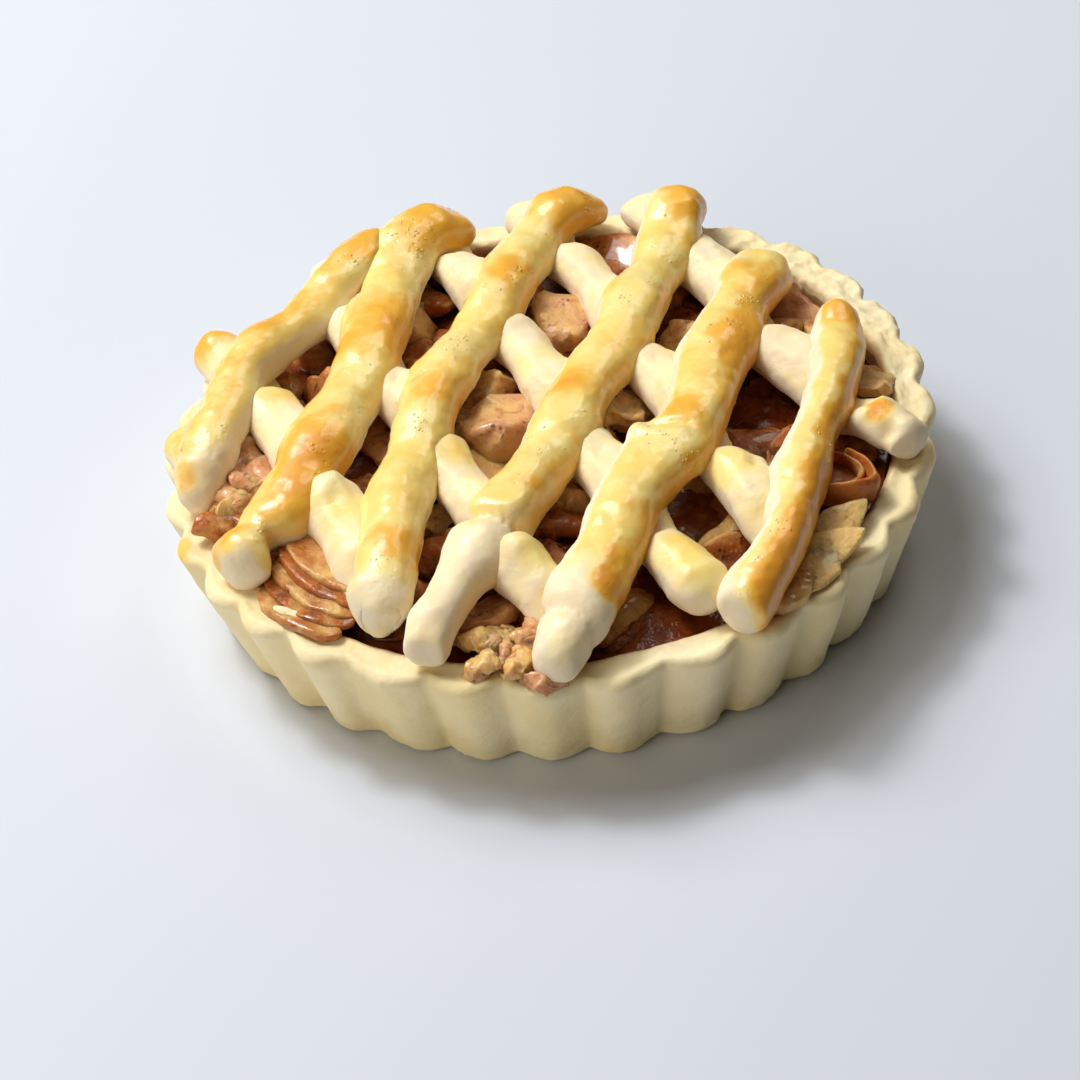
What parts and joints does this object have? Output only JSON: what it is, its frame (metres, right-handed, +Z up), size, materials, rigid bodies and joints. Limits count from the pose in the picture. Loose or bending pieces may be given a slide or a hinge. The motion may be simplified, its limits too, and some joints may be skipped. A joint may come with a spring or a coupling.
{
  "type": "apple pie",
  "caption": "Small round apple pie: fluted shortcrust shell, spiced apple filling and a slanting lattice of egg-washed dough strips.",
  "frame": {"origin": "middle of the flat underside, on the surface that the pie stands on", "axes": "+Z up through the lattice; -Y towards the side that the picture shows in front"},
  "size_m": [0.1096, 0.1096, 0.0285],
  "materials": {
    "crust": "pale baked shortcrust, matt",
    "filling": "stewed apple in glossy brown spiced sauce",
    "pale_dough": "pale baked dough with a thin egg wash",
    "glazed_dough": "egg-washed dough, golden with browner patches"
  },
  "bodies": {
    "root": {"crust_shell": "crust", "apple_filling": "filling", "lower_strip_0": "pale_dough", "lower_strip_1": "pale_dough", "lower_strip_2": "pale_dough", "lower_strip_3": "pale_dough", "lower_strip_4": "pale_dough", "lower_strip_5": "pale_dough", "upper_strip_1": "glazed_dough", "upper_strip_2": "glazed_dough", "upper_strip_3": "glazed_dough", "upper_strip_4": "glazed_dough", "upper_strip_5": "glazed_dough", "upper_strip_6": "glazed_dough"}
  },
  "joints": []
}
